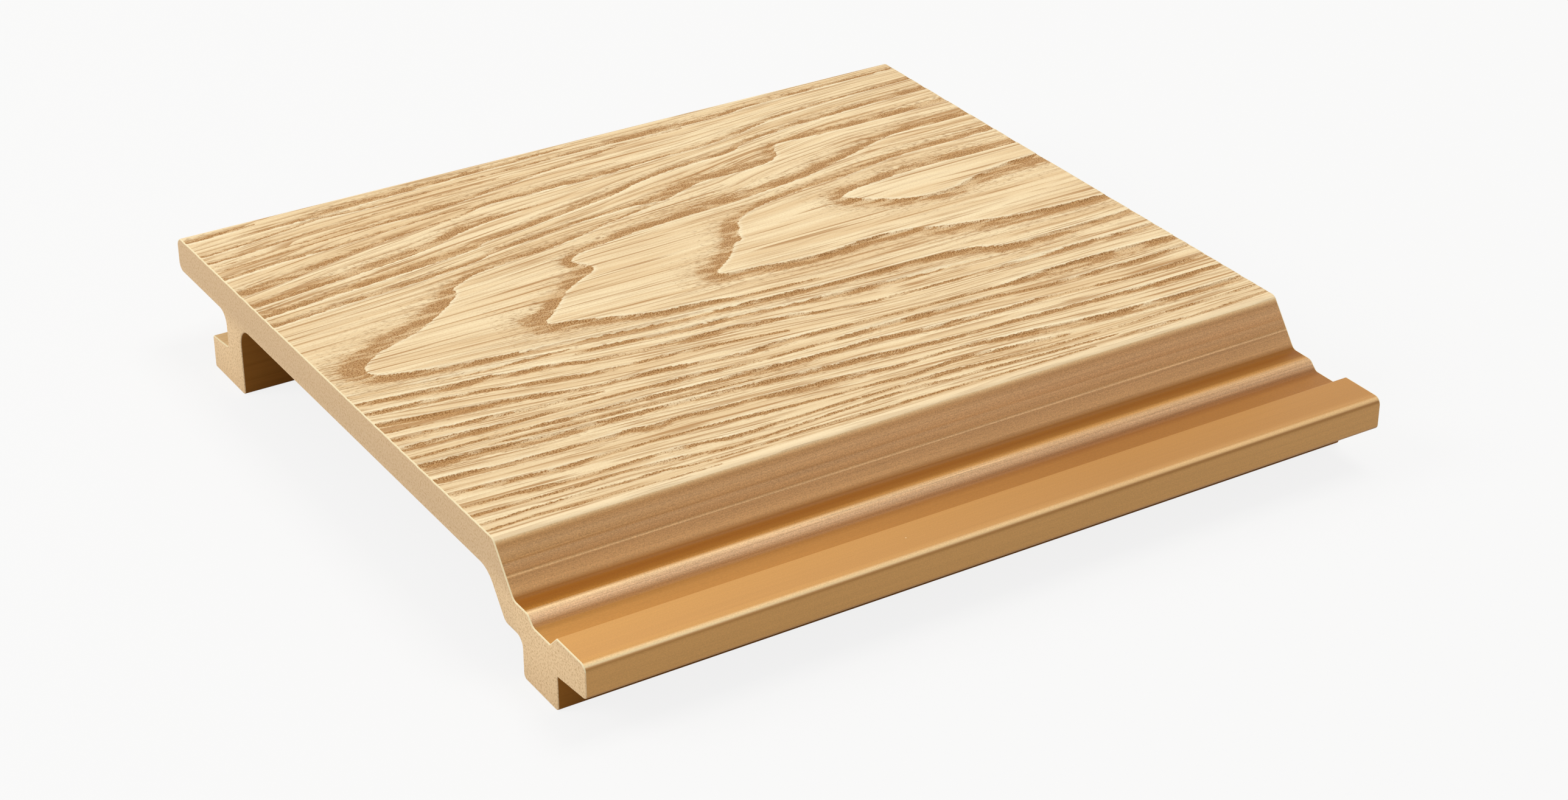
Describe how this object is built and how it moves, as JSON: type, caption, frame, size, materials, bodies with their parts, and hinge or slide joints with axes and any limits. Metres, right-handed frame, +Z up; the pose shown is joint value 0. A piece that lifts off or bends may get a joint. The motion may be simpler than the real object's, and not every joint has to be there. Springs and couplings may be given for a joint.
{
  "type": "composite wall panel",
  "caption": "Short length of extruded wall cladding with an embossed wood-grain face, a sloping side, a tongue on one edge and a lipped groove on the other.",
  "frame": {"origin": "centre of the bounding box, on the floor under the panel's back", "axes": "+X along the extrusion, +Y towards the lip and groove, +Z up out of the grained face"},
  "size_m": [0.157, 0.156, 0.021],
  "materials": {
    "wood_composite": "extruded wood-plastic composite, embossed grain in cream and brown on the face, satin on the moulded edges"
  },
  "bodies": {
    "root": {"wall_panel": "wood_composite"}
  },
  "joints": []
}
